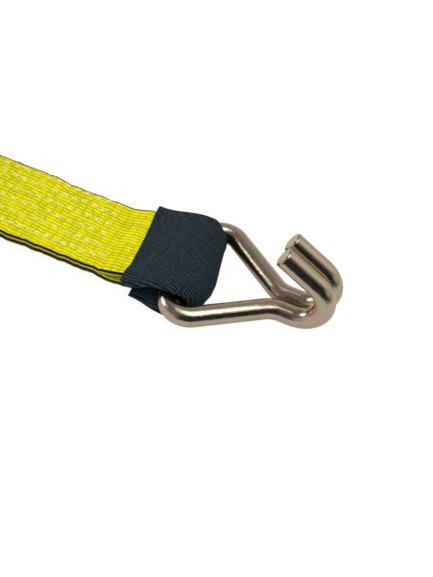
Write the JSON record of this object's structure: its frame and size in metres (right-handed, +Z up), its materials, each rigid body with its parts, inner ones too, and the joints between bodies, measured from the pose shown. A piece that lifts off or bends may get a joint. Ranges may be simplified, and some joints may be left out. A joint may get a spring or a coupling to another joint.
{
  "type": "ratchet strap",
  "caption": "Ratchet tie-down for fifty millimetre webbing: lever ratchet with drum and pawls, short and long sewn straps, each ending in a sleeved double J hook.",
  "frame": {"origin": "underside of the ratchet base's floor, at its middle", "axes": "+X along the strap towards the short strap's hook, +Y across the strap, +Z up, away from the face that rests on the load"},
  "size_m": [0.6116, 0.089, 0.0591],
  "materials": {
    "hook_zinc_steel": "yellow chromate zinc plating, tan and gold with pink and green tints, half gloss",
    "yellow_zinc_steel": "yellow chromate zinc plating on stamped sheet, half gloss",
    "bright_zinc_steel": "clear zinc plating, slightly dull",
    "spring_steel": "drawn wire, half gloss",
    "grip_rubber": "moulded rubber with cross ribs, matt",
    "yellow_webbing": "woven polyester, bright yellow with black selvedge lines",
    "navy_sleeve": "ribbed woven sleeve, near black navy",
    "cream_thread": "heavy sewing thread, cream"
  },
  "bodies": {
    "base": {"base_frame": "yellow_zinc_steel", "anchor_bolt": "bright_zinc_steel", "anchor_nut": "bright_zinc_steel", "anchor_spacer": "bright_zinc_steel", "lock_pawl_spring": "spring_steel"},
    "drum": {"drum_half_upper": "bright_zinc_steel", "drum_half_lower": "bright_zinc_steel", "ratchet_wheel_left": "bright_zinc_steel", "ratchet_wheel_right": "bright_zinc_steel", "drum_washer_left": "bright_zinc_steel", "drum_washer_right": "bright_zinc_steel", "cotter_pin_left": "bright_zinc_steel", "cotter_pin_right": "bright_zinc_steel", "strap_wrap": "yellow_webbing"},
    "handle": {"handle_frame": "yellow_zinc_steel", "handle_grip": "grip_rubber", "drive_pawl_spring": "spring_steel"},
    "drive_plate": {"drive_pawl": "yellow_zinc_steel"},
    "lock_plate": {"lock_pawl": "yellow_zinc_steel"},
    "short_webbing": {"short_strap": "yellow_webbing", "short_strap_stitching": "cream_thread", "short_strap_sleeve": "navy_sleeve"},
    "short_hook": {"short_strap_hook": "hook_zinc_steel"},
    "long_webbing": {"long_strap": "yellow_webbing", "long_strap_stitching": "cream_thread", "long_strap_sleeve": "navy_sleeve"},
    "long_hook": {"long_strap_hook": "hook_zinc_steel"}
  },
  "joints": [
    {"name": "handle_swing", "type": "hinge", "parent": "base", "child": "handle", "pos_m": [-0.038, 0, 0.027], "axis": [0, -1, 0], "range_deg": [0, 180]},
    {"name": "drum_spin", "type": "hinge", "parent": "base", "child": "drum", "pos_m": [-0.038, 0, 0.027], "axis": [0, -1, 0], "continuous": true},
    {"name": "drive_pawl_slide", "type": "slide", "parent": "handle", "child": "drive_plate", "axis": [1, 0, 0], "range_m": [-0.0045, 0.003], "deforming": ["drive_pawl_spring"]},
    {"name": "lock_pawl_slide", "type": "slide", "parent": "base", "child": "lock_plate", "axis": [0.866, 0, -0.5], "range_m": [0, 0.005], "stiffness_N_per_m": 600, "springref_m": -0.003, "deforming": ["lock_pawl_spring"]},
    {"name": "short_strap_swing", "type": "hinge", "parent": "base", "child": "short_webbing", "pos_m": [0.042, 0, 0.012], "axis": [0, 1, 0], "range_deg": [0, 60]},
    {"name": "short_hook_swing", "type": "hinge", "parent": "short_webbing", "child": "short_hook", "pos_m": [0.235, 0, 0.012], "axis": [0, 1, 0], "range_deg": [-90, 90]},
    {"name": "long_strap_swing", "type": "hinge", "parent": "base", "child": "long_webbing", "pos_m": [-0.038, 0, 0.027], "axis": [0, -1, 0], "range_deg": [0, 25]},
    {"name": "long_hook_swing", "type": "hinge", "parent": "long_webbing", "child": "long_hook", "pos_m": [-0.203, 0, 0.012], "axis": [0, 1, 0], "range_deg": [-90, 90]}
  ]
}
